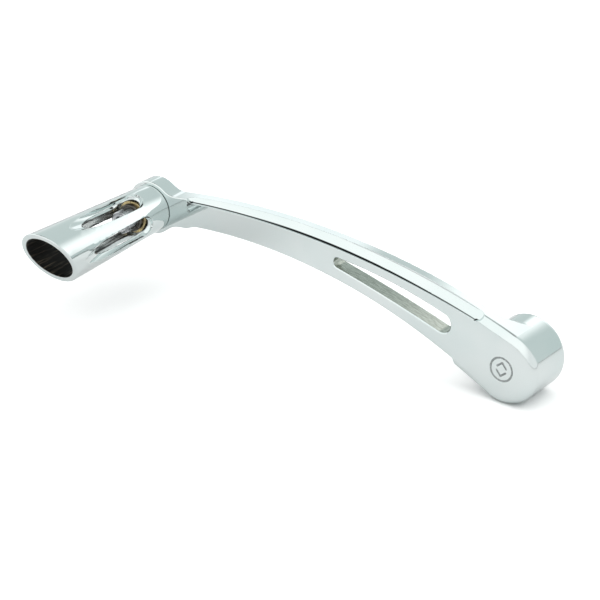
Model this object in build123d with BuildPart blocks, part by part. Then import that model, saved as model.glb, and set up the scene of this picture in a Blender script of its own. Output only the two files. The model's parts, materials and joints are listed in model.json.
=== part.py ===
from build123d import *
from math import cos, radians, sin
import os

# Gear shift lever for a motorcycle's left side, millimetres.
# +X runs from the toe peg towards the hub, +Y along the shift shaft towards the engine, +Z is up.
# The origin is the middle of the splined bore, on its axis.

# ---- driving dimensions -------------------------------------------------------------------
lever_length = 220.0          # hub axis to toe peg axis
arm_thickness = 9.5
hub_radius = 19.0
hub_length = 30.0
hub_front_round = 4.3         # round where the outer face meets the hub's side
hub_back_round = 4.0
flare_radius = 8.0            # concave blend between the arm's back and the hub
eye_radius = 14.4             # the eye that carries the toe peg
eye_edge = 0.6
slot_edge = 0.5
neck_top_blend = 12.0
neck_bottom_blend = 15.0

cutter_radius = 5.0           # ball cutter that makes the two long coves
mark_radius = 6.6             # engraved ring around the two gear-change arrows
mark_depth = 0.4
mark_line = 0.9
arrow_half_width = 2.6
arrow_foot = 1.1              # mark's middle to the ends of an arrow
arrow_tip = 3.7               # mark's middle to the tip of an arrow

sleeve_outer_radius = 9.8
sleeve_bore_radius = 7.95     # over the crests of the splines
spline_count = 30
spline_depth = 0.55
spline_width = 0.85
sleeve_length = 22.0

slit_heading = 195.0          # where round the hub the clamp slit opens, degrees from +X
slit_width = 2.4
slit_relief_radius = 2.2
slit_depth = 18.0             # how far the slit runs in from the hub's back face
pinch_offset = 14.2           # hub axis to pinch bolt axis
pinch_depth = 8.0             # hub's back face to pinch bolt axis
pinch_radius = 3.15
pinch_length = 15.9
pinch_head_radius = 4.76
pinch_head_height = 6.35
pinch_seat = 5.0              # slit's middle to the seat of the bolt's washer
pinch_washer_thickness = 2.0
pinch_insert_radius = 3.95
pinch_insert_length = 9.4
pinch_hex_width = 4.76
pinch_hole_clearance = 0.15
pinch_pocket_clearance = 0.4
pinch_washer_trim = 0.1       # how much smaller the lock washer is than the bolt's head
pinch_insert_inset = 0.2      # slit's wall to the near end of the thread insert

peg_base_radius = 12.6
peg_growth = 0.0367           # radius gained per millimetre of length
peg_axis_length = 79.1        # seat to the middle of the slanted mouth
peg_wall = 3.0
peg_floor = 13.0
peg_edge = 0.35
mouth_tilt = 28.0
mouth_heading = 109.0         # side of the peg that reaches furthest out
mouth_edge = 0.5
pocket_count = 5
pocket_first_heading = 76.0
pocket_radius = 5.6
pocket_start = 19.1           # seat to the inner end of the cutter's path
pocket_middle = 54.0          # seat to the point that the curved path passes through
pocket_end = 69.5             # seat to the outer end of the cutter's path
pocket_start_depth = 5.4
pocket_middle_depth = 3.5
pocket_end_clearance = 0.6    # the path's outer end is this far outside the peg
blank_allowance = 20.0        # length of the peg's blank beyond the middle of its mouth

peg_gap = 0.3                 # toe peg to arm, taken up by the seat washer
face_clearance = 0.05         # left between flat faces that turn on each other
peg_screw_radius = 3.93
peg_screw_length = 25.4
peg_head_radius = 5.95
peg_head_height = 7.94
peg_hex_width = 6.35
peg_hole_radius = 4.0
lock_washer_thickness = 2.0
lock_washer_radius = 7.4
lock_washer_gap = 1.6
lock_washer_skew = 20.0       # heading of the lock washers' cut, degrees
lock_washer_clearance = 0.1
flat_washer_thickness = 1.6
flat_washer_radius = 8.7
flat_washer_clearance = 0.35
seat_washer_radius = 12.0
seat_washer_bore = 5.2
peg_insert_radius = 4.76
peg_insert_length = 9.1
thread_clearance = 0.05
head_edge = 0.5
hex_depth_share = 0.55        # hex socket's depth as a share of the head's height
overrun = 1.0                 # how far a cut or a joined solid runs past the face it meets
edge_tolerance = 0.01

# ---- places worked out from them ------------------------------------------------------------
sleeve_front_y = -sleeve_length / 2
hub_back_y = sleeve_length / 2
front_y = hub_back_y - hub_length
arm_back_y = front_y + arm_thickness
peg_seat_y = front_y - peg_gap
peg_floor_y = peg_seat_y - peg_floor
flat_washer_y = peg_floor_y - face_clearance
lock_washer_y = flat_washer_y - flat_washer_thickness
peg_head_y = lock_washer_y - lock_washer_thickness
pinch_y = hub_back_y - pinch_depth


def around(heading, radius):
    """X and Z at a heading round a centre."""
    return radius * cos(radians(heading)), radius * sin(radians(heading))


def hub_plane(y):
    """Plane across the hub axis, facing outwards, whose two directions are +X and +Z."""
    return Plane((0, y, 0), x_dir=(1, 0, 0), z_dir=(0, -1, 0))


def peg_plane(y):
    """Plane across the toe peg's axis, facing outwards, whose two directions are +X and +Z."""
    return Plane((-lever_length, y, 0), x_dir=(1, 0, 0), z_dir=(0, -1, 0))


def peg_outer_radius(distance):
    """Outside radius of the toe peg at a distance from its seat."""
    return peg_base_radius + peg_growth * distance


# Slit and pinch bolt: one direction runs out along the slit, the other along the bolt to its head.
slit_x, slit_z = around(slit_heading, 1)
bolt_x, bolt_z = around(slit_heading + 90, 1)
slit_direction = Vector(slit_x, 0, slit_z)
bolt_direction = Vector(bolt_x, 0, bolt_z)
bolt_middle = slit_direction * pinch_offset + Vector(0, pinch_y, 0)


def bolt_plane(distance):
    """Plane across the pinch bolt, at a distance from the slit's middle towards the head."""
    return Plane(bolt_middle + bolt_direction * distance, x_dir=(0, 1, 0), z_dir=bolt_direction)


# ---- lever arm ----------------------------------------------------------------------------
top_tangent_heading = 78.5
bottom_tangent_heading = 249.5
hub_top = around(top_tangent_heading, hub_radius)
hub_bottom = around(bottom_tangent_heading, hub_radius)
top_end_direction = around(top_tangent_heading - 90, 1)
bottom_start_direction = around(bottom_tangent_heading - 90, 1)
blade_top = [(-215, 9), (-150, 23.7), (-84, 28.6), (-30, 25.1), hub_top]
blade_bottom = [hub_bottom, (-60, -1.7), (-122, 5), (-190, -1.6), (-215, -8)]
blade_top_start = (1, 0.31)
blade_bottom_end = (-1, -0.3)
round_end_x = -60             # outer corners are rounded from here to the hub

with BuildSketch(hub_plane(front_y)) as arm_outline:
    with BuildLine():
        Spline(*blade_top, tangents=[blade_top_start, top_end_direction])
        Line(hub_top, hub_bottom)
        Spline(*blade_bottom, tangents=[bottom_start_direction, blade_bottom_end])
        Line(blade_bottom[-1], blade_top[0])
    make_face()
    Circle(hub_radius)
    with Locations((-lever_length, 0)):
        Circle(eye_radius)
    neck = arm_outline.vertices().filter_by_position(Axis.X, -lever_length, -lever_length + eye_radius)
    fillet(neck.sort_by(Axis.Y)[-1:], neck_top_blend)
    neck = arm_outline.vertices().filter_by_position(Axis.X, -lever_length, -lever_length + eye_radius)
    fillet(neck.sort_by(Axis.Y)[:1], neck_bottom_blend)

hub_side = Plane.YZ.offset(round_end_x)

with BuildPart() as hub_half:
    extrude(arm_outline.sketch, amount=arm_thickness, dir=(0, 1, 0))
    split(bisect_by=hub_side, keep=Keep.TOP)
    outer_edges = hub_half.edges().filter_by(lambda e: e.bounding_box().max.Y < front_y + edge_tolerance)
    rounded = outer_edges.filter_by(lambda e: e.center().X > round_end_x + overrun)
    fillet(rounded, hub_front_round)

with BuildPart() as eye_half:
    extrude(arm_outline.sketch, amount=arm_thickness, dir=(0, 1, 0))
    split(bisect_by=hub_side, keep=Keep.BOTTOM)
    outer_edges = eye_half.edges().filter_by(lambda e: e.bounding_box().max.Y < front_y + edge_tolerance)
    crisp = outer_edges.filter_by(lambda e: e.center().X < round_end_x - overrun)
    fillet(crisp, eye_edge)

with BuildPart() as hub_flare:
    with BuildSketch(Plane.XY):
        with BuildLine():
            flare_foot = (hub_radius + flare_radius, arm_back_y)
            flare_crest = (hub_radius, arm_back_y + flare_radius)
            flare_inner_radius = hub_radius - overrun
            RadiusArc(flare_foot, flare_crest, flare_radius)
            Line(flare_crest, (flare_inner_radius, flare_crest[1]))
            Line((flare_inner_radius, flare_crest[1]), (flare_inner_radius, arm_back_y))
            Line((flare_inner_radius, arm_back_y), flare_foot)
        make_face()
    revolve(axis=Axis.Y)
    extrude(arm_outline.sketch, amount=hub_length, dir=(0, 1, 0), mode=Mode.INTERSECT)

# Ball cutter's paths: the upper cove and the lower cove, each a shallow arc with round ends.
upper_cove = [(-194.5, 17.8), (-100, 29.3), (-19, 24.2)]
lower_cove = [(-191, -4.6), (-110, 3.8), (-32, -9.3)]


def cove(points):
    """The space that a ball cutter clears along an arc on the arm's outer corner."""
    with BuildPart() as cleared:
        with BuildLine(hub_plane(front_y)) as path:
            ThreePointArc(*points)
        with BuildSketch(Plane(path.line @ 0, z_dir=path.line % 0)):
            Circle(cutter_radius)
        sweep(path=path.line)
        with Locations(path.line @ 0, path.line @ 1):
            Sphere(cutter_radius)
    return cleared.part


upper_cove_space = cove(upper_cove)
lower_cove_space = cove(lower_cove)

with BuildPart() as lever_arm:
    add(hub_half.part)
    add(eye_half.part)
    add(hub_flare.part)
    with BuildSketch(hub_plane(arm_back_y - overrun)):
        Circle(hub_radius)
    extrude(amount=-(hub_length - arm_thickness + overrun))
    hub_rim = lever_arm.edges().filter_by(GeomType.CIRCLE)
    fillet(hub_rim.sort_by(Axis.Y)[-1:], hub_back_round)
    add(upper_cove_space, mode=Mode.SUBTRACT)
    add(lower_cove_space, mode=Mode.SUBTRACT)
    # The through slot: narrow at its peg end, wide at its hub end, bowed like the arm.
    with BuildSketch(hub_plane(front_y - overrun)) as slot_outline:
        with BuildLine():
            ThreePointArc((-100.2, 19.4), (-68, 19.3), (-35.6, 15.2))
            ThreePointArc((-35.6, 15.2), (-31.6, 9.5), (-38, 4.9))
            ThreePointArc((-38, 4.9), (-68, 9.8), (-101.2, 13.9))
            ThreePointArc((-101.2, 13.9), (-103.6, 16.8), (-100.2, 19.4))
        make_face()
    extrude(amount=-(arm_thickness + 2 * overrun), mode=Mode.SUBTRACT)
    for rim_y, inwards in ((front_y, -1), (arm_back_y, 1)):
        with BuildSketch(hub_plane(rim_y)):
            add(slot_outline.sketch_local)
            offset(amount=slot_edge, kind=Kind.ARC)
        extrude(amount=inwards * slot_edge, taper=45, mode=Mode.SUBTRACT)
    # Blind bore for the splined sleeve, and the clamp slit with its relief hole.
    with BuildSketch(hub_plane(sleeve_front_y)):
        Circle(sleeve_outer_radius)
    extrude(amount=-(sleeve_length + overrun), mode=Mode.SUBTRACT)
    slit_face = Plane((0, hub_back_y, 0), x_dir=slit_direction, z_dir=(0, 1, 0))
    slit_reach = hub_radius + flare_radius + overrun
    with BuildSketch(slit_face):
        Rectangle(slit_reach, slit_width, align=(Align.MIN, Align.CENTER))
    extrude(amount=-slit_depth, mode=Mode.SUBTRACT)
    relief_y = hub_back_y - slit_depth
    with BuildSketch(Plane((0, relief_y, 0), x_dir=(0, 1, 0), z_dir=slit_direction)):
        Circle(slit_relief_radius)
    extrude(amount=slit_reach, mode=Mode.SUBTRACT)
    # Pinch bolt: clearance hole, pocket for the head, and the bore of its thread insert.
    with BuildSketch(bolt_plane(0)):
        Circle(pinch_radius + pinch_hole_clearance)
    extrude(amount=pinch_seat + overrun, mode=Mode.SUBTRACT)
    with BuildSketch(bolt_plane(pinch_seat)):
        Circle(pinch_head_radius + pinch_pocket_clearance)
    extrude(amount=hub_radius, mode=Mode.SUBTRACT)
    with BuildSketch(bolt_plane(0)):
        Circle(pinch_insert_radius)
    extrude(amount=-hub_radius, mode=Mode.SUBTRACT)
    # Tapped hole through the eye, sized for its thread insert.
    with BuildSketch(peg_plane(front_y - overrun)):
        Circle(peg_insert_radius)
    extrude(amount=-(arm_thickness + 2 * overrun), mode=Mode.SUBTRACT)
    # Engraved mark: a ring round one arrow up and one arrow down.
    with BuildSketch(hub_plane(front_y)):
        Circle(mark_radius)
        Circle(mark_radius - mark_line, mode=Mode.SUBTRACT)
        for side in (1, -1):
            with BuildLine():
                Polyline(
                    (-arrow_half_width, side * arrow_foot),
                    (0, side * arrow_tip),
                    (arrow_half_width, side * arrow_foot),
                )
                offset(amount=mark_line / 2, side=Side.BOTH)
            make_face()
    extrude(amount=-mark_depth, mode=Mode.SUBTRACT)
lever_arm.part.label = "lever_arm"

# ---- splined sleeve -------------------------------------------------------------------------
with BuildPart() as spline_sleeve:
    with BuildSketch(hub_plane(sleeve_front_y)):
        Circle(sleeve_outer_radius)
        Circle(sleeve_bore_radius, mode=Mode.SUBTRACT)
        with PolarLocations(sleeve_bore_radius, spline_count):
            Rectangle(2 * spline_depth, spline_width, mode=Mode.SUBTRACT)
        with Locations(Location((0, 0, 0), (0, 0, slit_heading))):
            Rectangle(
                sleeve_outer_radius + overrun,
                slit_width,
                align=(Align.MIN, Align.CENTER),
                mode=Mode.SUBTRACT,
            )
    extrude(amount=-sleeve_length)
spline_sleeve.part.label = "spline_sleeve"


def socket_screw(plane, radius, length, head_radius, head_height, hex_width):
    """Socket head screw; its plane lies under the head and faces the way the head points."""
    with BuildPart() as screw:
        with BuildSketch(plane):
            Circle(head_radius)
        extrude(amount=head_height)
        head_rim = screw.edges().filter_by(GeomType.CIRCLE)
        chamfer(head_rim.sort_by(Axis(plane.origin, plane.z_dir))[-1:], head_edge)
        with BuildSketch(plane):
            Circle(radius)
        extrude(amount=-length)
        tip = screw.edges().filter_by(GeomType.CIRCLE)
        chamfer(tip.sort_by(Axis(plane.origin, plane.z_dir))[:1], head_edge)
        with BuildSketch(plane.offset(head_height)):
            RegularPolygon(hex_width / 2, 6, major_radius=False)
        extrude(amount=-head_height * hex_depth_share, mode=Mode.SUBTRACT)
    return screw.part


def ring(plane, outer_radius, inner_radius, thickness):
    """Flat ring whose thickness lies along its plane's normal."""
    with BuildPart() as washer:
        with BuildSketch(plane):
            Circle(outer_radius)
            Circle(inner_radius, mode=Mode.SUBTRACT)
        extrude(amount=thickness)
    return washer.part


def split_ring(plane, outer_radius, inner_radius, thickness, gap):
    """Spring lock washer, closed flat, with its cut."""
    with BuildPart() as washer:
        with BuildSketch(plane):
            Circle(outer_radius)
            Circle(inner_radius, mode=Mode.SUBTRACT)
        extrude(amount=thickness)
        with BuildSketch(plane):
            with Locations(Location((0, 0, 0), (0, 0, lock_washer_skew))):
                Rectangle(outer_radius + overrun, gap, align=(Align.MIN, Align.CENTER))
        extrude(amount=thickness, mode=Mode.SUBTRACT)
    return washer.part


# ---- toe peg --------------------------------------------------------------------------------
peg_axis = Axis((-lever_length, 0, 0), (0, 1, 0))
mouth_transverse_x, mouth_transverse_z = around(mouth_heading, sin(radians(mouth_tilt)))
mouth_normal = Vector(mouth_transverse_x, cos(radians(mouth_tilt)), mouth_transverse_z)
mouth_plane = Plane((-lever_length, peg_seat_y - peg_axis_length, 0), z_dir=mouth_normal)
blank_length = peg_axis_length + blank_allowance

with BuildPart() as pocket_cutters:
    for number in range(pocket_count):
        heading = pocket_first_heading + number * 360 / pocket_count
        stations = []
        for distance, depth in (
            (pocket_start, pocket_start_depth),
            (pocket_middle, pocket_middle_depth),
            (pocket_end, -pocket_end_clearance),
        ):
            offset_x, offset_z = around(heading, peg_outer_radius(distance) - depth + pocket_radius)
            stations.append(Vector(offset_x - lever_length, peg_seat_y - distance, offset_z))
        with BuildLine() as cutter_path:
            ThreePointArc(*stations)
        with BuildSketch(Plane(cutter_path.line @ 0, z_dir=cutter_path.line % 0)):
            Circle(pocket_radius)
        sweep(path=cutter_path.line)
        with Locations(stations[0]):
            Sphere(pocket_radius)

with BuildPart() as toe_peg:
    with BuildSketch(Plane((-lever_length, 0, 0), x_dir=(1, 0, 0), z_dir=(0, 0, 1))):
        with BuildLine():
            Polyline(
                (peg_hole_radius, peg_seat_y),
                (peg_base_radius, peg_seat_y),
                (peg_outer_radius(blank_length), peg_seat_y - blank_length),
                (peg_outer_radius(blank_length) - peg_wall, peg_seat_y - blank_length),
                (peg_outer_radius(peg_floor) - peg_wall, peg_floor_y),
                (peg_hole_radius, peg_floor_y),
                close=True,
            )
        make_face()
    revolve(axis=peg_axis)
    base_rim = toe_peg.edges().filter_by(GeomType.CIRCLE).sort_by(Axis.Y)[-2:]
    fillet(base_rim.sort_by(SortBy.RADIUS)[-1:], peg_edge)
    split(bisect_by=mouth_plane, keep=Keep.TOP)
    mouth_face = toe_peg.faces().filter_by(GeomType.PLANE).sort_by(Axis.Y)[0]
    fillet(mouth_face.edges(), mouth_edge)
    add(pocket_cutters.part, mode=Mode.SUBTRACT)
toe_peg.part.label = "toe_peg"

# ---- toe peg's fastener ---------------------------------------------------------------------
peg_screw = socket_screw(
    peg_plane(peg_head_y), peg_screw_radius, peg_screw_length, peg_head_radius, peg_head_height, peg_hex_width
)
peg_screw.label = "peg_screw"

peg_flat_washer = ring(
    peg_plane(flat_washer_y),
    flat_washer_radius,
    peg_hole_radius + flat_washer_clearance,
    flat_washer_thickness,
)
peg_flat_washer.label = "peg_flat_washer"

peg_lock_washer = split_ring(
    peg_plane(lock_washer_y),
    lock_washer_radius,
    peg_hole_radius + lock_washer_clearance,
    lock_washer_thickness,
    lock_washer_gap,
)
peg_lock_washer.label = "peg_lock_washer"

peg_seat_washer = ring(
    peg_plane(front_y), seat_washer_radius, seat_washer_bore, peg_gap - face_clearance
)
peg_seat_washer.label = "peg_seat_washer"

insert_inset = (arm_thickness - peg_insert_length) / 2
peg_thread_insert = ring(
    peg_plane(arm_back_y - insert_inset),
    peg_insert_radius,
    peg_screw_radius + thread_clearance,
    peg_insert_length,
)
peg_thread_insert.label = "peg_thread_insert"

# ---- pinch bolt -----------------------------------------------------------------------------
pinch_bolt = socket_screw(
    bolt_plane(pinch_seat + pinch_washer_thickness + face_clearance),
    pinch_radius,
    pinch_length,
    pinch_head_radius,
    pinch_head_height,
    pinch_hex_width,
)
pinch_bolt.label = "pinch_bolt"

pinch_lock_washer = split_ring(
    bolt_plane(pinch_seat + face_clearance / 2),
    pinch_head_radius - pinch_washer_trim,
    pinch_radius + lock_washer_clearance,
    pinch_washer_thickness,
    lock_washer_gap,
)
pinch_lock_washer.label = "pinch_lock_washer"

pinch_thread_insert = ring(
    bolt_plane(-slit_width / 2 - pinch_insert_inset - pinch_insert_length),
    pinch_insert_radius,
    pinch_radius + thread_clearance,
    pinch_insert_length,
)
pinch_thread_insert.label = "pinch_thread_insert"

# ---- files ----------------------------------------------------------------------------------
pieces = [
    lever_arm.part,
    spline_sleeve.part,
    toe_peg.part,
    peg_screw,
    peg_flat_washer,
    peg_lock_washer,
    peg_seat_washer,
    peg_thread_insert,
    pinch_bolt,
    pinch_lock_washer,
    pinch_thread_insert,
]
os.makedirs("parts", exist_ok=True)
for piece in pieces:
    export_step(piece, f"parts/{piece.label}.step")
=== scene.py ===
import json
import math

import bmesh
import bpy
import numpy as np
from mathutils import Matrix, Vector


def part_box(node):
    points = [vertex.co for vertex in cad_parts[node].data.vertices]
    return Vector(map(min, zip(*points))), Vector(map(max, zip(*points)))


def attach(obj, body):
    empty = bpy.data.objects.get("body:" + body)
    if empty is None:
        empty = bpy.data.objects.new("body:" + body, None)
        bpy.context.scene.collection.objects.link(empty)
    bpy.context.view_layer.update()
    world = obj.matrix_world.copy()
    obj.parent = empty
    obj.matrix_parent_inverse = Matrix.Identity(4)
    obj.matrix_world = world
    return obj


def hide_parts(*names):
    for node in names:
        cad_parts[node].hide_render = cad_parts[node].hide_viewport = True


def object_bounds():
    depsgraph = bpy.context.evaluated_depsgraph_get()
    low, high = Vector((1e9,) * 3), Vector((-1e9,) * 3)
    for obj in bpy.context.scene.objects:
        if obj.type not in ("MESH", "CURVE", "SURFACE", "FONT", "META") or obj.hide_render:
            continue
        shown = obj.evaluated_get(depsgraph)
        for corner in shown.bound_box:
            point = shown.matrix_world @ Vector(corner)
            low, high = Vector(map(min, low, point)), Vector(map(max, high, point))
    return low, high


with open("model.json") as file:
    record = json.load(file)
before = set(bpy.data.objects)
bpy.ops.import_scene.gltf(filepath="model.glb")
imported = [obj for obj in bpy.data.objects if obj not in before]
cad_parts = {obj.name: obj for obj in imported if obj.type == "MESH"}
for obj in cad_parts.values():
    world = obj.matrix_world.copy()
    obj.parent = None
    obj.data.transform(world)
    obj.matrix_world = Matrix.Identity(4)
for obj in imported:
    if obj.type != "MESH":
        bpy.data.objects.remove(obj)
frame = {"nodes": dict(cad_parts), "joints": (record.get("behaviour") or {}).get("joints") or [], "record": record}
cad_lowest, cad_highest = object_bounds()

# Gear shift lever, in metres, in the row frame: +X towards the hub, +Y towards the engine, +Z up.

MM = 0.001
record = frame["record"]
joints = {joint["name"]: joint for joint in frame["joints"]}
body_of_node = {node: body for body, nodes in record["behaviour"]["bodies"].items() for node in nodes}
thread_lead = {
    coupling["joint"]: 2 * math.pi / coupling["ratio"]
    for coupling in record["behaviour"]["couplings"]
}

# ---- places and sizes ---------------------------------------------------------------------
front_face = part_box("lever_arm")[0].y
arm_thickness = 9.5 * MM
arm_blade = (-0.203, -0.024)      # X values between which the arm is a flat blade
mark_reach = 7.4 * MM             # the engraved mark lies within this radius
mark_soft_edge = 0.3 * MM
mark_dark_from, mark_dark_wholly = 0.12 * MM, 0.34 * MM     # depths in the mark between which its colour turns darker
mark_dark_stops, mark_dark_gone = 0.8 * MM, 1.2 * MM        # and, deeper than the mark's floor, stops

# The two coves: the points in X and Z, in millimetres, that the arcs along their middles pass through.
cutter_radius = 5.0 * MM
upper_cove = ((-194.5, 17.8), (-100, 29.3), (-19, 24.2))
lower_cove = ((-191, -4.6), (-110, 3.8), (-32, -9.3))
cove_slack = 0.45 * MM            # how far a point may be off the cutter's surface and still belong to it
cove_fade = 2 * MM                # length over which a cove's ends blend into the arm
cove_angle_near, cove_angle_far = 26, 42

slot_wall_layer = "slot_wall"
slot_wall_reach = np.array((8.0, 4.5)) * MM   # how far outside a clear box its walls may be, in X and Z
slot_wall_from, slot_wall_wholly = 0.45 * MM, 0.8 * MM    # depths below a face between which the walls begin
slot_openings = [
    (np.array(opening["box_m"][0]), np.array(opening["box_m"][1]))
    for opening in record["physics"]["openings"] if opening["name"].startswith("arm_slot")
]

peg_place = Vector(joints["toe_peg_turn"]["pos_m"])
peg_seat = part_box("toe_peg")[1].y
peg_base_radius = 12.6 * MM
peg_growth = 0.0367               # what the peg's radius gains for each unit of length
peg_wall = 3.0 * MM
peg_floor = 13.0 * MM
peg_far_from, peg_far_wholly = 42 * MM, 60 * MM   # lengths between which the bore turns near black, painted shade towards its mouth

skin_voxel = 0.25 * MM
weld_reach = 0.001 * MM           # vertices nearer than that are the same one

# Degrees between a skin's own normal and the CAD surface's: wholly the CAD's up to near, not at all past far.
normal_near, normal_far = 9.0, 22.0
blade_near, blade_far = 1.5, 4.0
blade_fade = 5 * MM               # length over which the blade's angles take over

thread_height = 0.6134            # height of a sixty degree thread, as a share of its lead
thread_crest, thread_flank = 0.13, 0.72   # half the crest's width and the flank's, as shares of half a lead
thread_rows_per_turn = 8
head_rim = 0.97                   # share of a screw head's radius from which a vertex is on its rim

washer_steps, coil_steps, split_steps = 128, 96, 120      # corners round each kind of ring
split_heading = math.radians(20)  # where round its axis a lock washer is cut
split_edge = 0.2 * MM
screw_crisp, ring_crisp = 32, 50  # degrees of turn from which an edge stays crisp

# ---- camera -------------------------------------------------------------------------------
camera_azimuth = math.radians(33.6)
camera_elevation = math.radians(29.9)
camera_roll = math.radians(6.75)
camera_place = Vector((0.534, -1.004, 0.667))
camera_lens = 161.7


def make_camera():
    forward = Vector((
        -math.sin(camera_azimuth) * math.cos(camera_elevation),
        math.cos(camera_azimuth) * math.cos(camera_elevation),
        -math.sin(camera_elevation),
    ))
    level_right = Vector((math.cos(camera_azimuth), math.sin(camera_azimuth), 0))
    level_up = level_right.cross(forward)
    right = level_right * math.cos(camera_roll) + level_up * math.sin(camera_roll)
    up = right.cross(forward)
    data = bpy.data.cameras.new("camera")
    data.lens = camera_lens
    data.sensor_width = 36
    data.clip_start = 0.05
    data.clip_end = 50
    camera = bpy.data.objects.new("camera", data)
    camera.matrix_world = Matrix((
        (right.x, up.x, -forward.x, camera_place.x),
        (right.y, up.y, -forward.y, camera_place.y),
        (right.z, up.z, -forward.z, camera_place.z),
        (0, 0, 0, 1),
    ))
    bpy.context.scene.collection.objects.link(camera)
    bpy.context.scene.camera = camera


# ---- studio -------------------------------------------------------------------------------
floor_size = 8.0
floor_gap = 0.2 * MM              # between the hub and the floor
floor_tilt = math.radians(5.9)    # the lever rests on its hub with its toe peg raised
floor_white = 0.93
floor_seen = 1.24                 # the floor as the camera sees it, over-exposed to paper white
paper_glow = 1.05                 # how bright the background paper is
paper_from, paper_wholly = 0.4, 0.9   # distances over which the floor turns into the background paper
room_fill = 0.25                  # share of the room's light that reaches rough surfaces

overhead_place = Vector((-0.05, 0.0, 0.8))
overhead_width, overhead_length = 1.7, 1.7
overhead_power = 12.7


def direction(azimuth, elevation):
    """Unit vector at an azimuth from +Y towards +X and an elevation, in degrees."""
    a, e = math.radians(azimuth), math.radians(elevation)
    return Vector((math.sin(a) * math.cos(e), math.cos(a) * math.cos(e), math.sin(e)))


# Soft patches of the room: name, where it is, half width and soft edge in degrees, brightness.
studio_base = (1.03, 1.05, 1.05)
flag_dark = (0.02, 0.022, 0.022)
studio_patches = [
    ("key softbox", direction(-125, 45), 55, 30, (1.36, 1.37, 1.36)),
    ("rear fill", direction(0, 25), 40, 18, (0.74, 0.82, 0.81)),
    ("flag low", direction(-58, 34), 5, 5, flag_dark),
    ("flag middle low", direction(-51, 40), 7, 5, flag_dark),
    ("flag middle high", direction(-44, 47), 7, 5, flag_dark),
    ("flag high", direction(-35, 55), 7, 5, flag_dark),
    ("flag top", direction(-24, 59), 5, 5, flag_dark),
    ("flag wide", direction(-56, 53), 7, 6, flag_dark),
]

# Soft-edged cards that only mirror-bright surfaces see: name, middle, point faced, turn about that
# line in degrees, width, height, share of each that fades out, brightness.
studio_cards = [
    (
        "peg card", Vector((-0.06, 0.16, 0.12)), Vector((-0.22, -0.06, 0)),
        0, 0.23, 0.36, 0.85, (1.55, 1.56, 1.55),
    ),
    (
        "arm card", Vector((-0.32, 0.2, 0.121)), Vector((-0.32, -0.2, 0.121)),
        23.7, 0.25, 0.09, 0.3, (1.28, 1.32, 1.33),
    ),
]


def make_world():
    world = bpy.data.worlds.new("studio")
    bpy.context.scene.world = world
    world.use_nodes = True
    nodes, links = world.node_tree.nodes, world.node_tree.links
    nodes.clear()
    where = nodes.new("ShaderNodeTexCoord")
    unit = nodes.new("ShaderNodeVectorMath")
    unit.operation = "NORMALIZE"
    links.new(where.outputs["Generated"], unit.inputs[0])
    colour = None
    for name, towards, half_width, softness, brightness in studio_patches:
        facing = nodes.new("ShaderNodeVectorMath")
        facing.operation = "DOT_PRODUCT"
        facing.inputs[1].default_value = towards
        links.new(unit.outputs[0], facing.inputs[0])
        edge_from = math.cos(math.radians(half_width + softness))
        edge_to = math.cos(math.radians(half_width))
        share = remap(world.node_tree, facing.outputs["Value"], edge_from, edge_to, 0, 1)
        blend = nodes.new("ShaderNodeMix")
        blend.data_type = "RGBA"
        blend.label = name
        blend.inputs["A"].default_value = (*studio_base, 1)
        blend.inputs["B"].default_value = (*brightness, 1)
        links.new(share, blend.inputs["Factor"])
        if colour:
            links.new(colour, blend.inputs["A"])
        colour = blend.outputs["Result"]
    mirrored = nodes.new("ShaderNodeBackground")
    links.new(colour, mirrored.inputs["Color"])
    filling = nodes.new("ShaderNodeBackground")
    filling.inputs["Strength"].default_value = room_fill
    links.new(colour, filling.inputs["Color"])
    paper = nodes.new("ShaderNodeBackground")
    paper.inputs["Color"].default_value = (paper_glow, paper_glow, paper_glow, 1)
    path = nodes.new("ShaderNodeLightPath")
    lit = mix_shader(world.node_tree, path.outputs["Is Diffuse Ray"], mirrored, filling)
    seen = mix_shader(world.node_tree, path.outputs["Is Camera Ray"], lit, paper)
    output = nodes.new("ShaderNodeOutputWorld")
    links.new(seen.outputs[0], output.inputs["Surface"])


def make_card(name, place, faced, turn, width, height, fade, brightness):
    """A glowing card whose edges fade away; only mirror reflections see it."""
    mesh = bpy.data.meshes.new(name)
    mesh.from_pydata([(-1, -1, 0), (1, -1, 0), (1, 1, 0), (-1, 1, 0)], [], [(0, 1, 2, 3)])
    card = bpy.data.objects.new(name, mesh)
    aim = (faced - place).to_track_quat("Z", "Y").to_matrix().to_4x4()
    size = Matrix.Diagonal((width / 2, height / 2, 1, 1))
    card.matrix_world = Matrix.Translation(place) @ aim @ Matrix.Rotation(math.radians(turn), 4, "Z") @ size
    bpy.context.scene.collection.objects.link(card)
    material = bpy.data.materials.new(name)
    material.use_nodes = True
    tree = material.node_tree
    tree.nodes.clear()
    shares = []
    for distance in object_axes(tree)[:2]:
        reach = math_node(tree, "ABSOLUTE", distance, 0)
        shares.append(remap(tree, reach, 1 - fade, 1, 1, 0))
    glow = tree.nodes.new("ShaderNodeEmission")
    glow.inputs["Color"].default_value = (*brightness, 1)
    clear = tree.nodes.new("ShaderNodeBsdfTransparent")
    blend = mix_shader(tree, product(tree, *shares), clear, glow)
    output = tree.nodes.new("ShaderNodeOutputMaterial")
    tree.links.new(blend.outputs[0], output.inputs["Surface"])
    mesh.materials.append(material)
    card.visible_camera = False
    card.visible_diffuse = False
    card.visible_shadow = False


def make_overhead():
    data = bpy.data.lights.new("overhead", "AREA")
    data.shape = "RECTANGLE"
    data.size = overhead_width
    data.size_y = overhead_length
    data.energy = overhead_power
    light = bpy.data.objects.new("overhead", data)
    light.location = overhead_place
    light.visible_camera = False
    light.visible_glossy = False
    bpy.context.scene.collection.objects.link(light)


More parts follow.
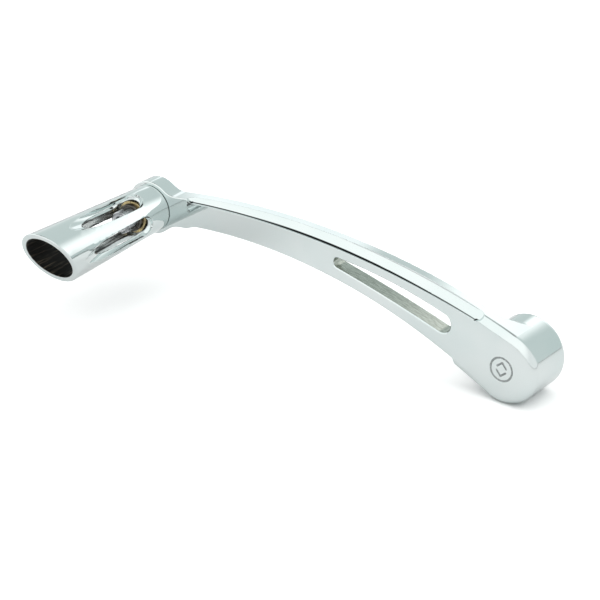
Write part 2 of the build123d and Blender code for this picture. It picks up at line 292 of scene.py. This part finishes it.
def make_floor():
    mesh = bpy.data.meshes.new("floor")
    half = floor_size / 2
    # The hub is round about the Y axis, so the tilted floor is as far from that axis as a level one would be.
    height = (cad_lowest.z - floor_gap) / math.cos(floor_tilt)
    rise = half * math.tan(floor_tilt)
    corners = [
        (-half, -half, height - rise),
        (half, -half, height + rise),
        (half, half, height + rise),
        (-half, half, height - rise),
    ]
    mesh.from_pydata(corners, [], [(0, 1, 2, 3)])
    floor = bpy.data.objects.new("floor", mesh)
    bpy.context.scene.collection.objects.link(floor)
    material, tree, shader = new_material("floor")
    path = tree.nodes.new("ShaderNodeLightPath")
    seen = mix_colour(tree, path.outputs["Is Camera Ray"], (floor_white,) * 3, (floor_seen,) * 3)
    tree.links.new(seen, shader.inputs["Base Color"])
    shader.inputs["Roughness"].default_value = 0.6
    shader.inputs["Specular IOR Level"].default_value = 0.1
    coordinates = tree.nodes.new("ShaderNodeTexCoord")
    reach = tree.nodes.new("ShaderNodeVectorMath")
    reach.operation = "LENGTH"
    tree.links.new(coordinates.outputs["Object"], reach.inputs[0])
    far = remap(tree, reach.outputs["Value"], paper_from, paper_wholly, 0, 1)
    paper = tree.nodes.new("ShaderNodeEmission")
    paper.inputs["Color"].default_value = (paper_glow, paper_glow, paper_glow, 1)
    blend = mix_shader(tree, product(tree, far, path.outputs["Is Camera Ray"]), shader, paper)
    tree.links.new(blend.outputs[0], tree.nodes["Material Output"].inputs["Surface"])
    mesh.materials.append(material)


def make_studio():
    make_world()
    make_floor()
    make_overhead()
    for card in studio_cards:
        make_card(*card)
    bpy.context.scene.view_settings.view_transform = "Standard"


# ---- material nodes -----------------------------------------------------------------------
def new_material(name):
    material = bpy.data.materials.new(name)
    material.use_nodes = True
    return material, material.node_tree, material.node_tree.nodes["Principled BSDF"]


def object_coordinates(tree, stretch=(1, 1, 1)):
    """Object coordinates, in metres, squeezed along each axis so that a pattern runs lengthwise."""
    coordinates = tree.nodes.new("ShaderNodeTexCoord")
    mapping = tree.nodes.new("ShaderNodeMapping")
    mapping.inputs["Scale"].default_value = stretch
    tree.links.new(coordinates.outputs["Object"], mapping.inputs["Vector"])
    return mapping.outputs[0]


def object_axes(tree):
    """X, Y and Z of the object coordinates, one output each."""
    coordinates = tree.nodes.new("ShaderNodeTexCoord")
    split = tree.nodes.new("ShaderNodeSeparateXYZ")
    tree.links.new(coordinates.outputs["Object"], split.inputs[0])
    return split.outputs


def noise(tree, coordinates, features_mm, detail=3.0, roughness=0.5):
    """Noise whose features are about that many millimetres across."""
    texture = tree.nodes.new("ShaderNodeTexNoise")
    texture.inputs["Scale"].default_value = 1 / (features_mm * MM)
    texture.inputs["Detail"].default_value = detail
    texture.inputs["Roughness"].default_value = roughness
    tree.links.new(coordinates, texture.inputs["Vector"])
    return texture.outputs["Fac"]


def remap(tree, value, low, high, to_low, to_high):
    scale = tree.nodes.new("ShaderNodeMapRange")
    scale.interpolation_type = "SMOOTHSTEP"
    scale.inputs["From Min"].default_value = low
    scale.inputs["From Max"].default_value = high
    scale.inputs["To Min"].default_value = to_low
    scale.inputs["To Max"].default_value = to_high
    tree.links.new(value, scale.inputs["Value"])
    return scale.outputs["Result"]


def math_node(tree, operation, first, second):
    node = tree.nodes.new("ShaderNodeMath")
    node.operation = operation
    for socket, value in zip(node.inputs, (first, second)):
        if isinstance(value, (int, float)):
            socket.default_value = value
        else:
            tree.links.new(value, socket)
    return node.outputs[0]


def product(tree, first, *others):
    for other in others:
        first = math_node(tree, "MULTIPLY", first, other)
    return first


def distance_from_axis(tree, across, up):
    squares = math_node(tree, "ADD", product(tree, across, across), product(tree, up, up))
    return math_node(tree, "SQRT", squares, 0)


def mix_colour(tree, factor, first, second):
    blend = tree.nodes.new("ShaderNodeMix")
    blend.data_type = "RGBA"
    tree.links.new(factor, blend.inputs["Factor"])
    for socket, value in (("A", first), ("B", second)):
        if isinstance(value, tuple):
            blend.inputs[socket].default_value = (*value, 1)
        else:
            tree.links.new(value, blend.inputs[socket])
    return blend.outputs["Result"]


def mix_shader(tree, factor, first, second):
    blend = tree.nodes.new("ShaderNodeMixShader")
    tree.links.new(factor, blend.inputs["Fac"])
    tree.links.new(first.outputs[0], blend.inputs[1])
    tree.links.new(second.outputs[0], blend.inputs[2])
    return blend


def bump(tree, height, depth_mm, under=None):
    node = tree.nodes.new("ShaderNodeBump")
    node.inputs["Strength"].default_value = 1
    node.inputs["Distance"].default_value = depth_mm * MM
    tree.links.new(height, node.inputs["Height"])
    if under:
        tree.links.new(under, node.inputs["Normal"])
    return node.outputs["Normal"]


# ---- finishes -----------------------------------------------------------------------------
# Pairs are the two colours that a finish varies between.
chrome_tints = (0.635, 0.70, 0.695), (0.675, 0.725, 0.72)
# Darker colour inside the engraved mark
mark_dark_tint = (0.22, 0.235, 0.235)
# Colours of the slot's satin milled walls, darker than the chrome as painted shade in the slot
slot_satin_shade_tints = (0.44, 0.475, 0.43), (0.33, 0.36, 0.32)
# The bore towards its mouth: near black painted shade, with warm streaks
bore_shade_tints = (0.016, 0.016, 0.015), (0.19, 0.155, 0.11)
reamed_tints = (0.05, 0.054, 0.054), (0.58, 0.61, 0.60)


def chrome_finish(tree):
    """Colour, roughness and normal of show chrome: faint plating colour, haze, waviness and hairlines."""
    even = object_coordinates(tree)
    buffed = object_coordinates(tree, (0.06, 1, 1))
    plating = remap(tree, noise(tree, even, 35, 2), 0.35, 0.65, 0, 1)
    hairlines = noise(tree, buffed, 0.5, 2)
    colour = mix_colour(tree, plating, *chrome_tints)
    haze = remap(tree, noise(tree, even, 9, 4, 0.6), 0.3, 0.75, 0.035, 0.085)
    roughness = math_node(tree, "ADD", haze, remap(tree, hairlines, 0.62, 0.8, 0, 0.05))
    wavy = bump(tree, noise(tree, even, 11, 1), 0.012)
    normal = bump(tree, hairlines, 0.00012, wavy)
    return colour, roughness, normal


def finish_shader(tree, shader, colour, roughness, normal):
    tree.links.new(colour, shader.inputs["Base Color"])
    tree.links.new(roughness, shader.inputs["Roughness"])
    tree.links.new(normal, shader.inputs["Normal"])


def mark_darkening(tree):
    """How much darker the colour is: only within the mark's radius and below the front face."""
    x, y, z = object_axes(tree)
    inside = remap(tree, distance_from_axis(tree, x, z), mark_reach, mark_reach + mark_soft_edge, 1, 0)
    sunk = remap(tree, y, front_face + mark_dark_from, front_face + mark_dark_wholly, 0, 1)
    before = remap(tree, y, front_face + mark_dark_stops, front_face + mark_dark_gone, 1, 0)
    return product(tree, inside, sunk, before)


def arm_chrome():
    """Show chrome, darker in the engraved mark, and on the slot's walls a rougher satin milled finish whose darker
    colour is painted shade.
    """
    material, tree, shader = new_material("chrome")
    colour, roughness, normal = chrome_finish(tree)
    shader.inputs["Metallic"].default_value = 1
    # Darker and rougher inside the engraved mark
    mark_dark = mark_darkening(tree)
    colour = mix_colour(tree, mark_dark, colour, mark_dark_tint)
    roughness = math_node(tree, "ADD", roughness, product(tree, mark_dark, 0.25))
    walls = tree.nodes.new("ShaderNodeAttribute")
    walls.attribute_name = slot_wall_layer
    on_wall = walls.outputs["Fac"]
    milled = noise(tree, object_coordinates(tree, (0.08, 1, 1)), 0.6, 3)
    # The slot's walls: rougher satin with milling marks, their darker colour painted shade
    satin_and_shade = mix_colour(tree, remap(tree, milled, 0.35, 0.65, 0, 1), *slot_satin_shade_tints)
    colour = mix_colour(tree, on_wall, colour, satin_and_shade)
    roughness = math_node(tree, "ADD", roughness, product(tree, on_wall, 0.16))
    mill_marks = bump(tree, product(tree, milled, on_wall), 0.012, normal)
    finish_shader(tree, shader, colour, roughness, mill_marks)
    return material


def peg_bare(tree, x, z, distance):
    """1 on the toe peg's bore, past its floor, and 0 on its plated outside, with a ragged edge between."""
    radius = distance_from_axis(tree, math_node(tree, "SUBTRACT", x, peg_place.x), z)
    outside = math_node(tree, "ADD", product(tree, distance, peg_growth), peg_base_radius)
    depth = math_node(tree, "SUBTRACT", outside, radius)
    ragged = product(tree, noise(tree, object_coordinates(tree), 1.5, 3), 0.25 * MM)
    depth = math_node(tree, "ADD", depth, ragged)
    within = remap(tree, depth, peg_wall - 0.35 * MM, peg_wall - 0.05 * MM, 0, 1)
    past_floor = remap(tree, distance, peg_floor - 0.5 * MM, peg_floor - 0.2 * MM, 0, 1)
    return product(tree, within, past_floor)


def peg_chrome():
    """Show chrome outside, and the toe peg's unplated bore, streaked along its length and turned near black
    towards its mouth as painted shade.
    """
    material, tree, shader = new_material("peg chrome")
    colour, roughness, normal = chrome_finish(tree)
    x, y, z = object_axes(tree)
    distance = math_node(tree, "SUBTRACT", peg_seat, y)
    bare = peg_bare(tree, x, z, distance)
    streaks = noise(tree, object_coordinates(tree, (1, 0.05, 1)), 1.1, 4, 0.6)
    # Painted shade: the bore near its mouth, near black with warm streaks
    dark = mix_colour(tree, remap(tree, streaks, 0.48, 0.78, 0, 1), *bore_shade_tints)
    reamed = mix_colour(tree, remap(tree, streaks, 0.42, 0.56, 0, 1), *reamed_tints)
    deep = remap(tree, distance, peg_far_from, peg_far_wholly, 1, 0)
    colour = mix_colour(tree, bare, colour, mix_colour(tree, deep, dark, reamed))
    rough_inside = remap(tree, streaks, 0.3, 0.7, 0.55, 0.32)
    rough_inside = math_node(tree, "SUBTRACT", rough_inside, product(tree, deep, 0.2))
    plated = math_node(tree, "SUBTRACT", 1, bare)
    roughness = math_node(tree, "ADD", product(tree, plated, roughness), product(tree, bare, rough_inside))
    tool_marks = bump(tree, product(tree, streaks, bare), 0.05, normal)
    tree.links.new(remap(tree, bare, 0, 1, 1, 0.75), shader.inputs["Metallic"])
    finish_shader(tree, shader, colour, roughness, tool_marks)
    return material


def plated_steel(name, light, dark, rough, rougher, patch_mm, grain_mm, grain_depth_mm, stretch=(1, 1, 1)):
    """Plated or bare steel: cloudy colour, grain and a little handling haze."""
    material, tree, shader = new_material(name)
    even = object_coordinates(tree)
    drawn = object_coordinates(tree, stretch)
    clouds = remap(tree, noise(tree, even, patch_mm, 4, 0.6), 0.32, 0.68, 0, 1)
    grain = noise(tree, drawn, grain_mm, 3, 0.6)
    worn = math_node(tree, "ADD", product(tree, clouds, 0.7), product(tree, grain, 0.3))
    colour = mix_colour(tree, worn, light, dark)
    roughness = remap(tree, worn, 0.2, 0.8, rough, rougher)
    shader.inputs["Metallic"].default_value = 1
    finish_shader(tree, shader, colour, roughness, bump(tree, grain, grain_depth_mm))
    return material


# ---- meshes -------------------------------------------------------------------------------
def read_vectors(items, attribute):
    """A vector attribute of a mesh's items, as the rows of an array."""
    values = np.empty(len(items) * 3, dtype=np.float32)
    items.foreach_get(attribute, values)
    return values.reshape(-1, 3)


def line_of(joint_name):
    """A joint's axis and a point on it."""
    joint = joints[joint_name]
    return Vector(joint["axis"]).normalized(), Vector(joint["pos_m"])


def measured(node, place, axis):
    """Each vertex's distance along an axis through a place, and its distance from that axis."""
    points = read_vectors(frame["nodes"][node].data.vertices, "co").astype(float)
    offsets = points - np.array(place)
    along = offsets @ np.array(axis)
    return along, np.linalg.norm(offsets - np.outer(along, np.array(axis)), axis=1)


def span(node, place, axis):
    """A node's lowest and highest distance along an axis, and its smallest and largest radius."""
    along, radii = measured(node, place, axis)
    return along.min(), along.max(), radii.min(), radii.max()


def make_piece(name, points, faces, node, material, crisp_from):
    """A piece that shades smoothly, apart from edges that turn by more than those degrees."""
    mesh = bpy.data.meshes.new(name)
    mesh.from_pydata(points, [], faces)
    mesh.materials.append(material)
    mesh.validate()
    mesh.polygons.foreach_set("use_smooth", [True] * len(mesh.polygons))
    piece = bpy.data.objects.new(name, mesh)
    bpy.context.scene.collection.objects.link(piece)
    place_piece(piece, node)
    mark_sharp(piece, crisp_from)
    return piece


def place_piece(piece, node):
    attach(piece, body_of_node[node])
    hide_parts(node)


def mark_sharp(piece, degrees):
    mesh = piece.data
    shape = bmesh.new()
    shape.from_mesh(mesh)
    bmesh.ops.recalc_face_normals(shape, faces=shape.faces)
    for edge in shape.edges:
        edge.smooth = edge.is_manifold and edge.calc_face_angle() < math.radians(degrees)
    shape.to_mesh(mesh)
    shape.free()


def polar_mesh(rows, steps, place, axis, zero, closed):
    """Points and faces of rows round an axis. A row gives (radius, distance along) at an angle."""
    across = (zero - axis * zero.dot(axis)).normalized()
    beside = axis.cross(across)
    points = []
    for row in rows:
        for step in range(steps):
            angle = 2 * math.pi * step / steps
            radius, along = row(angle)
            outward = across * math.cos(angle) + beside * math.sin(angle)
            points.append(place + axis * along + outward * radius)
    faces = []
    pairs = len(rows) if closed else len(rows) - 1
    for row in range(pairs):
        here, there = row * steps, (row + 1) % len(rows) * steps
        for step in range(steps):
            after = (step + 1) % steps
            faces.append((here + step, here + after, there + after, there + step))
    if not closed:
        for row, flip in ((0, True), (len(rows) - 1, False)):
            middle = sum((points[row * steps + step] for step in range(steps)), Vector()) / steps
            points.append(middle)
            centre = len(points) - 1
            for step in range(steps):
                edge = (row * steps + step, row * steps + (step + 1) % steps)
                faces.append((*reversed(edge), centre) if flip else (*edge, centre))
    return points, faces


def even_row(radius, along):
    return lambda angle: (radius, along)


def hexagon_row(apothem, along):
    """A hexagon's outline in polar form, as wide across its flats as twice the apothem."""
    def row(angle):
        turn = (angle + math.pi / 6) % (math.pi / 3) - math.pi / 6
        return apothem / math.cos(turn), along
    return row


def knurl_row(radius, along, depth, ridges):
    def row(angle):
        return radius - depth * (0.5 - 0.5 * math.cos(angle * ridges)) ** 2, along
    return row


def groove_row(radius, along, depth, lead):
    """A row of a right-hand thread whose root is that much nearer the axis than its crest."""
    def row(angle):
        return radius - depth * thread_form(along / lead + angle / (2 * math.pi)), along
    return row


def thread_form(phase):
    """Depth of a sixty degree thread, 0 on its crest and 1 at its root, at a phase of one turn."""
    tooth = abs((phase % 1.0) - 0.5) * 2
    return min(max((tooth - thread_crest) / thread_flank, 0.0), 1.0)


def thread_rows(radius, start, stop, lead):
    """Rows of a right-hand thread between two distances; it fades in over its first turn."""
    count = max(int(abs(stop - start) / lead * thread_rows_per_turn), 2)
    rows = []
    for number in range(count + 1):
        along = start + (stop - start) * number / count
        fade = min(abs(along - start) / lead, 1.0)
        rows.append(groove_row(radius, along, thread_height * lead * fade, lead))
    return rows


def head_rows(radius, shank_radius, seat, top, hexagon, ridges):
    """A socket head from the bottom of its hexagon socket, over its knurled side, to the shank's fillet."""
    edge, apothem = 0.45 * MM, hexagon / 2
    socket_floor = top - 0.55 * (top - seat)
    rows = [
        even_row(apothem * 0.30, socket_floor - 0.5 * MM),
        even_row(apothem * 0.96, socket_floor),
        hexagon_row(apothem, socket_floor + 0.02 * MM),
        hexagon_row(apothem, socket_floor + 0.1 * MM),
        hexagon_row(apothem, top - 0.42 * MM),
        hexagon_row(apothem + 0.03 * MM, top - 0.36 * MM),
        even_row(apothem * 1.17 + 0.02 * MM, top - 0.03 * MM),
        even_row(apothem * 1.17 + 0.08 * MM, top),
        even_row(radius - 1.3 * edge, top),
        even_row(radius - 1.05 * edge, top - 0.03 * MM),
        even_row(radius - 0.3 * edge, top - 0.72 * edge),
        even_row(radius - 0.12 * edge, top - edge),
    ]
    knurl_low, knurl_high = seat + 0.8 * MM, top - edge - 0.35 * MM
    for share in (0.0, 0.12, 0.5, 0.88, 1.0):
        along = knurl_high + (knurl_low - knurl_high) * share
        rows.append(knurl_row(radius, along, 0.11 * MM, ridges))
    return rows + [
        even_row(radius - 0.04 * MM, seat + 0.55 * MM),
        even_row(radius - 0.05 * MM, seat + 0.2 * MM),
        even_row(radius - 0.22 * MM, seat),
        even_row(shank_radius + 0.01 * MM, seat),
        even_row(shank_radius, seat - 0.2 * MM),
    ]


def socket_screw(name, node, joint_name, material, hexagon, ridges, plain_share):
    """Socket head cap screw: knurled head, hexagon socket, and a thread below a plain share of its shank."""
    axis, place = line_of(joint_name)
    lead = thread_lead[joint_name]
    along, radii = measured(node, place, axis)
    tip, top, head_radius = along.min(), along.max(), radii.max()
    seat = along[radii > head_radius * head_rim].min()
    shank_radius = radii[along < seat - 1 * MM].max()
    thread_from = seat - plain_share * (seat - tip)
    rows = head_rows(head_radius, shank_radius, seat, top, hexagon, ridges)
    rows.append(even_row(shank_radius, thread_from))
    rows += thread_rows(shank_radius, thread_from - 0.02 * MM, tip + 0.75 * MM, lead)
    rows.append(even_row(shank_radius - thread_height * lead, tip + 0.12 * MM))
    rows.append(even_row(shank_radius - 0.75 * lead, tip))
    zero = Vector((0, 0, 1)) if abs(axis.z) < 0.5 else Vector((0, 1, 0))
    points, faces = polar_mesh(rows, ridges * 4, place, axis, zero, False)
    return make_piece(name, points, faces, node, material, screw_crisp)


def round_section(inner, outer, low, high, edge):
    """Section of a washer with eased corners, as (radius, distance along) points in order."""
    ease = edge * (1 - math.sqrt(0.5))
    corners = [(outer, low, 1, -1), (outer, high, 1, 1), (inner, high, -1, 1), (inner, low, -1, -1)]
    section = []
    for radius, along, out, up in corners:
        on_side = (radius, along - up * edge)
        middle = (radius - out * ease, along - up * ease)
        on_face = (radius - out * edge, along)
        section += [on_side, middle, on_face] if out == up else [on_face, middle, on_side]
    return section


def washer(name, node, joint_name, material, edge):
    axis, place = line_of(joint_name)
    low, high, inner, outer = span(node, place, axis)
    rows = [even_row(radius, along) for radius, along in round_section(inner, outer, low, high, edge)]
    points, faces = polar_mesh(rows, washer_steps, place, axis, Vector((0, 1, 0.3)), True)
    return make_piece(name, points, faces, node, material, ring_crisp)


def split_washer(name, node, joint_name, gap):
    """Spring lock washer: a squared coil closed flat, cut on a slant."""
    axis, place = line_of(joint_name)
    low, high, inner, outer = span(node, place, axis)
    zero = Vector((1, 0, 0)) if abs(axis.y) > 0.5 else Vector((axis.z, 0, -axis.x))
    across = (zero - axis * zero.dot(axis)).normalized()
    beside = axis.cross(across)
    section = round_section(inner, outer, low, high, split_edge)
    middle_radius = (inner + outer) / 2
    half_gap = gap / 2 / middle_radius
    slant = (high - low) * 0.45 / middle_radius
    points = []
    for step in range(split_steps + 1):
        round_by = half_gap + (2 * math.pi - 2 * half_gap) * step / split_steps
        for radius, along in section:
            angle = split_heading + round_by + slant * ((along - low) / (high - low) - 0.5)
            outward = across * math.cos(angle) + beside * math.sin(angle)
            points.append(place + axis * along + outward * radius)
    corners = len(section)
    faces = []
    for step in range(split_steps):
        here, there = step * corners, (step + 1) * corners
        for corner in range(corners):
            after = (corner + 1) % corners
            faces.append((here + corner, here + after, there + after, there + corner))
    faces.append(tuple(reversed(range(corners))))
    faces.append(tuple(range(split_steps * corners, (split_steps + 1) * corners)))
    return make_piece(name, points, faces, node, spring_steel, ring_crisp)


def thread_insert(name, node, joint_name):
    """Wire thread insert: diamond wire wound into a coil, so both its sides are grooved."""
    axis, place = line_of(joint_name)
    lead = thread_lead[joint_name]
    low, high, inner, outer = span(node, place, axis)
    groove = 0.12 * lead
    rings = max(int((high - low) / lead * thread_rows_per_turn), thread_rows_per_turn)
    outside, inside = [], []
    for number in range(rings + 1):
        along = low + (high - low) * number / rings
        depth = 0.0 if number in (0, rings) else groove
        outside.append(groove_row(outer, along, depth, lead))
        inside.append(groove_row(inner, along, -depth, lead))
    rows = outside + inside[::-1]
    points, faces = polar_mesh(rows, coil_steps, place, axis, Vector((0, 1, 0.3)), True)
    return make_piece(name, points, faces, node, stainless, ring_crisp)


# ---- skins --------------------------------------------------------------------------------
def unit_rows(vectors):
    return vectors / np.maximum(np.linalg.norm(vectors, axis=1, keepdims=True), 1e-9)


def angles_between(first, second):
    return np.degrees(np.arccos(np.clip((first * second).sum(axis=1), -1, 1)))


def cove_surface(points, normals, path):
    """How far each point belongs to a cove, its nearest place on the cove and the cove's normal there.

    A cove is what a ball cutter leaves that runs along an arc through the path's three points, in the
    front face.
    """
    start, middle, end = (np.array(point) * MM for point in path)
    chords = 2 * np.array([middle - start, end - start])
    centre = np.linalg.solve(chords, np.array([middle @ middle - start @ start, end @ end - start @ start]))
    bend = np.linalg.norm(start - centre)
    from_centre = points[:, [0, 2]] - centre
    on_path = centre + from_centre / np.linalg.norm(from_centre, axis=1, keepdims=True) * bend
    axis_points = np.column_stack([on_path[:, 0], np.full(len(points), front_face), on_path[:, 1]])
    facing = axis_points - points
    distance = np.linalg.norm(facing, axis=1, keepdims=True)
    facing = facing / np.maximum(distance, 1e-9)
    apart = angles_between(normals, facing)[:, None]
    along = np.minimum(points[:, 0] - start[0], end[0] - points[:, 0])[:, None]
    belongs = np.clip((cove_slack - abs(distance - cutter_radius)) / (0.5 * cove_slack), 0, 1)
    belongs *= np.clip((cove_angle_far - apart) / (cove_angle_far - cove_angle_near), 0, 1)
    belongs *= np.clip(along / cove_fade, 0, 1)
    return belongs, axis_points - facing * cutter_radius, facing


def welded_copy(source):
    """A copy of an object's mesh with its doubled vertices joined and without its stored normals."""
    mesh = source.data.copy()
    shape = bmesh.new()
    shape.from_mesh(mesh)
    bmesh.ops.remove_doubles(shape, verts=shape.verts, dist=weld_reach)
    shape.to_mesh(mesh)
    shape.free()
    if "custom_normal" in mesh.attributes:
        mesh.attributes.remove(mesh.attributes["custom_normal"])
    return mesh


def apply_modifiers(piece):
    bpy.context.view_layer.update()
    evaluated = piece.evaluated_get(bpy.context.evaluated_depsgraph_get())
    mesh = bpy.data.meshes.new_from_object(evaluated)
    piece.modifiers.clear()
    piece.data = mesh


def polish(piece, smoothing):
    """Rebuilds a piece from voxels and smooths it, which rounds its edges."""
    remesh = piece.modifiers.new("voxels", "REMESH")
    remesh.mode = "VOXEL"
    remesh.voxel_size = skin_voxel
    remesh.use_smooth_shade = True
    smooth = piece.modifiers.new("polish", "SMOOTH")
    smooth.factor = 0.5
    smooth.iterations = smoothing
    apply_modifiers(piece)


def thin_out(piece, source, most_triangles):
    """Thins a piece to a number of triangles and gives its corners the source surface's normals."""
    thin = piece.modifiers.new("thin", "DECIMATE")
    thin.ratio = min(1.0, most_triangles / (2 * len(piece.data.polygons)))
    transfer = piece.modifiers.new("normals", "DATA_TRANSFER")
    transfer.object = source
    transfer.use_loop_data = True
    transfer.data_types_loops = {"CUSTOM_NORMAL"}
    transfer.loop_mapping = "POLYINTERP_NEAREST"
    apply_modifiers(piece)


def mean_corner_normals(mesh):
    """Each vertex's mean corner normal."""
    vertices = np.empty(len(mesh.loops), dtype=np.int32)
    mesh.loops.foreach_get("vertex_index", vertices)
    total = np.zeros((len(mesh.vertices), 3))
    np.add.at(total, vertices, read_vectors(mesh.corner_normals, "vector"))
    return unit_rows(total)


def skin(name, node, material, smoothing, most_triangles, blade=None, coves=()):
    """A smooth closed skin over a CAD node, its edges rounded as polishing leaves them.

    Wherever its own normals nearly agree with the CAD surface it takes the CAD surface's, so that flats
    stay flat and cylinders round. Between the two X values of a blade they have to agree much more closely.
    """
    source = frame["nodes"][node]
    piece = bpy.data.objects.new(name, welded_copy(source))
    bpy.context.scene.collection.objects.link(piece)
    polish(piece, smoothing)
    thin_out(piece, source, most_triangles)
    mesh = piece.data
    own = read_vectors(mesh.vertex_normals, "vector")
    taken = mean_corner_normals(mesh)
    places = read_vectors(mesh.vertices, "co")
    strict = np.zeros(len(places))
    if blade:
        along = places[:, 0]
        strict = np.clip(np.minimum(along - blade[0], blade[1] - along) / blade_fade, 0, 1)
    near = normal_near + (blade_near - normal_near) * strict
    far = normal_far + (blade_far - normal_far) * strict
    agree = np.clip((far - angles_between(own, taken)) / (far - near), 0, 1)[:, None]
    blended = unit_rows(own * (1 - agree) + taken * agree)
    for cove in coves:
        on_cove, onto, facing = cove_surface(places, blended, cove)
        places += (onto - places) * on_cove
        blended = unit_rows(blended * (1 - on_cove) + facing * on_cove)
    mesh.vertices.foreach_set("co", places.ravel())
    mesh.update()
    mesh.polygons.foreach_set("use_smooth", [True] * len(mesh.polygons))
    mesh.normals_split_custom_set_from_vertices(blended.tolist())
    mesh.materials.clear()
    mesh.materials.append(material)
    place_piece(piece, node)
    return piece


def mark_slot_walls(piece):
    """Weights the skin's points that lie on the through slot's walls, found from the record's clear boxes."""
    mesh = piece.data
    points = read_vectors(mesh.vertices, "co")
    weight = np.zeros(len(points), dtype=np.float32)
    for low, high in slot_openings:
        outside = np.maximum(np.maximum(low - points, points - high), 0)[:, [0, 2]]
        near = np.linalg.norm(outside / slot_wall_reach, axis=1) < 1
        weight[near] = 1
    inward = np.minimum(points[:, 1] - front_face, front_face + arm_thickness - points[:, 1])
    weight *= np.clip((inward - slot_wall_from) / (slot_wall_wholly - slot_wall_from), 0, 1)
    mesh.attributes.new(slot_wall_layer, "FLOAT", "POINT").data.foreach_set("value", weight)


# ---- the scene ----------------------------------------------------------------------------
make_camera()
make_studio()

chrome = arm_chrome()
chromed_peg = peg_chrome()
zinc = plated_steel(
    "bright zinc", light=(0.60, 0.62, 0.63), dark=(0.40, 0.42, 0.44), rough=0.22, rougher=0.42,
    patch_mm=3, grain_mm=0.12, grain_depth_mm=0.002,
)
yellow_zinc = plated_steel(
    "yellow zinc", light=(0.62, 0.50, 0.24), dark=(0.44, 0.36, 0.22), rough=0.25, rougher=0.45,
    patch_mm=2.5, grain_mm=0.15, grain_depth_mm=0.003,
)
spring_steel = plated_steel(
    "oiled spring steel", light=(0.20, 0.19, 0.17), dark=(0.07, 0.065, 0.06), rough=0.28, rougher=0.5,
    patch_mm=2, grain_mm=0.1, grain_depth_mm=0.004,
)
broached_steel = plated_steel(
    "broached steel", light=(0.42, 0.41, 0.39), dark=(0.24, 0.235, 0.225), rough=0.24, rougher=0.45,
    patch_mm=5, grain_mm=0.18, grain_depth_mm=0.006, stretch=(1, 0.05, 1),
)
stainless = plated_steel(
    "stainless wire", light=(0.52, 0.51, 0.48), dark=(0.36, 0.35, 0.33), rough=0.2, rougher=0.38,
    patch_mm=2, grain_mm=0.1, grain_depth_mm=0.002,
)

arm = skin(
    "chromed_arm", "lever_arm", chrome,
    smoothing=6, most_triangles=190000, blade=arm_blade, coves=(upper_cove, lower_cove),
)
mark_slot_walls(arm)
skin("chromed_toe_peg", "toe_peg", chromed_peg, smoothing=4, most_triangles=150000)
socket_screw(
    "toe_peg_screw", "peg_screw", "peg_screw_turn", zinc,
    hexagon=6.35 * MM, ridges=48, plain_share=0.1,
)
socket_screw(
    "pinch_screw", "pinch_bolt", "pinch_bolt_turn", zinc,
    hexagon=4.76 * MM, ridges=44, plain_share=0.15,
)
washer("flat_washer", "peg_flat_washer", "peg_screw_turn", yellow_zinc, edge=0.3 * MM)
split_washer("peg_spring_washer", "peg_lock_washer", "peg_screw_turn", gap=1.6 * MM)
split_washer("pinch_spring_washer", "pinch_lock_washer", "pinch_bolt_turn", gap=1.4 * MM)
washer("seat_washer", "peg_seat_washer", "peg_screw_turn", stainless, edge=0.08 * MM)
thread_insert("peg_wire_insert", "peg_thread_insert", "peg_screw_turn")
thread_insert("pinch_wire_insert", "pinch_thread_insert", "pinch_bolt_turn")
for material_slot in frame["nodes"]["spline_sleeve"].material_slots:
    material_slot.material = broached_steel
